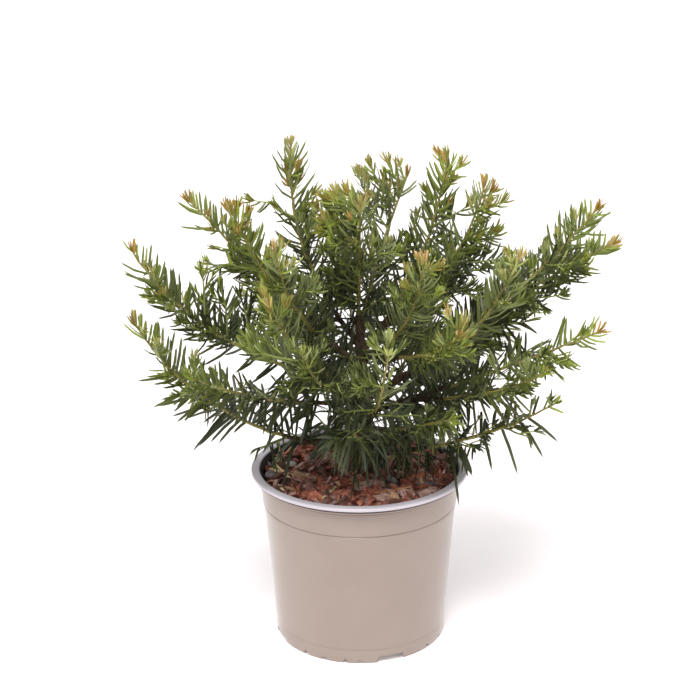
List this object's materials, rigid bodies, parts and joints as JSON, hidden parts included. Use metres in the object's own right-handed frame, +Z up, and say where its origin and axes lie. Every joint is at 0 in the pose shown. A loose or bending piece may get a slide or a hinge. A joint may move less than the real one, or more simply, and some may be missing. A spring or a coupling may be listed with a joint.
{
  "type": "potted english yew",
  "caption": "Bushy young yew with flat dark needles on spreading upright shoots, standing in a round taupe nursery pot filled with bark chips.",
  "frame": {"origin": "middle of the flat pad under the pot, at the level that the foot ring stands on", "axes": "+Z up along the pot's axis, -Y towards the front of the plant, +X to the right seen from the front"},
  "size_m": [0.4228, 0.3358, 0.4421],
  "materials": {
    "pot_plastic": "satin injection-moulded polypropylene",
    "bark_chips": "rough chipped bark",
    "wood": "thin flaking bark",
    "foliage": null
  },
  "bodies": {
    "root": {"pot": "pot_plastic", "bark_fill": "bark_chips", "trunk": "wood", "bough_back": "wood", "bough_back_high": "wood", "bough_back_left": "wood", "bough_back_low": "wood", "bough_back_right": "wood", "bough_front": "wood", "bough_front_left": "wood", "bough_front_left_low": "wood", "bough_front_low": "wood", "bough_front_right": "wood", "bough_front_right_crest": "wood", "bough_front_right_low": "wood", "bough_left": "wood", "bough_left_crest": "wood", "bough_left_front": "wood", "bough_left_high": "wood", "bough_left_low": "wood", "bough_left_upper": "wood", "bough_right": "wood", "bough_right_back": "wood", "bough_right_bottom": "wood", "bough_right_front": "wood", "bough_right_high": "wood", "bough_right_inner": "wood", "bough_right_low": "wood", "bough_right_upper": "wood", "bough_tall_left": "wood", "bough_tall_right": "wood", "foliage_back": "foliage", "foliage_back_high": "foliage", "foliage_back_left": "foliage", "foliage_back_low": "foliage", "foliage_back_right": "foliage", "foliage_front": "foliage", "foliage_front_left": "foliage", "foliage_front_left_low": "foliage", "foliage_front_low": "foliage", "foliage_front_right": "foliage", "foliage_front_right_crest": "foliage", "foliage_front_right_low": "foliage", "foliage_left": "foliage", "foliage_left_crest": "foliage", "foliage_left_front": "foliage", "foliage_left_high": "foliage", "foliage_left_low": "foliage", "foliage_left_upper": "foliage", "foliage_middle": "foliage", "foliage_right": "foliage", "foliage_right_back": "foliage", "foliage_right_bottom": "foliage", "foliage_right_front": "foliage", "foliage_right_high": "foliage", "foliage_right_inner": "foliage", "foliage_right_low": "foliage", "foliage_right_upper": "foliage", "foliage_tall_left": "foliage", "foliage_tall_right": "foliage"}
  },
  "joints": []
}
